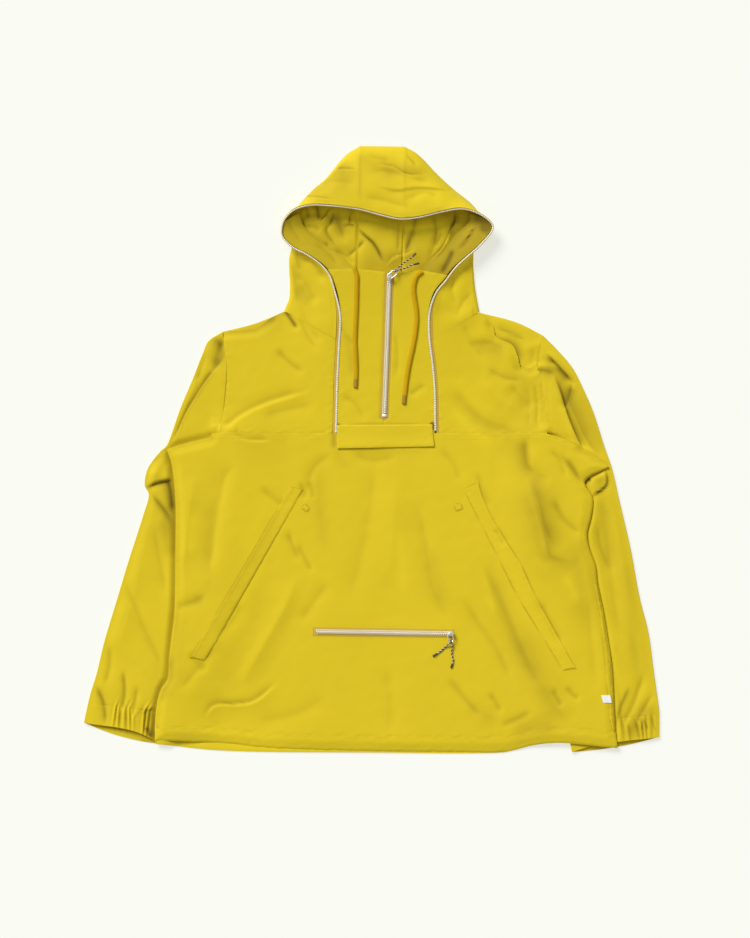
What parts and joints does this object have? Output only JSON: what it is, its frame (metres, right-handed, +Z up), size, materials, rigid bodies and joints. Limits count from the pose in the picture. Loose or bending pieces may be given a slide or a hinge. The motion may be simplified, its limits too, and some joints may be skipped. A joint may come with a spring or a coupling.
{
  "type": "hooded anorak pullover",
  "caption": "Hooded pullover anorak laid flat on its back, with zips round the face opening, a chest zip, slanted pockets, a low zip pocket and drawcords.",
  "frame": {"origin": "middle of the laid garment's outline seen from above, on the surface it lies on", "axes": "+X across the body towards the side with the label, +Y from hem to hood, +Z up from the surface, out of the front"},
  "size_m": [0.834, 0.8778, 0.0336],
  "materials": {
    "cloth": "mustard yellow woven cotton and nylon shell cloth, matt with a faint sheen",
    "zip_tape": "tan woven zip tape",
    "zip_metal": "polished light metal",
    "drawcord": "braided mustard orange cord",
    "pull_cord": "dark brown and white twisted cord",
    "label": "plain white woven tab"
  },
  "bodies": {
    "garment": {"back_panel": "cloth", "back_yoke": "cloth", "front_panel": "cloth", "yoke_left": "cloth", "yoke_right": "cloth", "bib_left": "cloth", "bib_right": "cloth", "facing_left": "cloth", "facing_right": "cloth", "hem_front": "cloth", "hem_back": "cloth", "sleeve_left": "cloth", "sleeve_right": "cloth", "cuff_left": "cloth", "cuff_right": "cloth", "hood_left": "cloth", "hood_right": "cloth", "hood_centre": "cloth", "storm_flap": "cloth", "pocket_welt_left": "cloth", "pocket_welt_right": "cloth", "tack_patch_left": "cloth", "tack_patch_right": "cloth", "side_strip": "cloth", "side_label": "label", "hood_zip_tape": "zip_tape", "hood_zip_teeth": "zip_metal", "chest_zip_tape": "zip_tape", "chest_zip_teeth": "zip_metal", "chest_zip_stop": "zip_metal", "chest_zip_slider": "zip_metal", "pocket_zip_tape": "zip_tape", "pocket_zip_teeth": "zip_metal", "pocket_zip_slider": "zip_metal", "drawcord_left": "drawcord", "drawcord_left_tip": "drawcord", "drawcord_right": "drawcord", "drawcord_right_tip": "drawcord"},
    "chest_pull": {"chest_zip_pull": "zip_metal", "chest_zip_pull_knot": "pull_cord", "chest_zip_cord_a": "pull_cord", "chest_zip_cord_a_tip": "pull_cord", "chest_zip_cord_b": "pull_cord", "chest_zip_cord_b_tip": "pull_cord"},
    "pocket_pull": {"pocket_zip_pull": "zip_metal", "pocket_zip_pull_knot": "pull_cord", "pocket_zip_cord_a": "pull_cord", "pocket_zip_cord_a_tip": "pull_cord", "pocket_zip_cord_b": "pull_cord", "pocket_zip_cord_b_tip": "pull_cord"}
  },
  "joints": [
    {"name": "chest_pull_hinge", "type": "hinge", "parent": "garment", "child": "chest_pull", "pos_m": [0.02372, 0.25, 0.02652], "axis": [0.682, -0.7314, 0], "range_deg": [0, 150]},
    {"name": "pocket_pull_hinge", "type": "hinge", "parent": "garment", "child": "pocket_pull", "pos_m": [0.1115, -0.2648, 0.01436], "axis": [-0.9945, -0.1045, 0], "range_deg": [0, 150]}
  ]
}
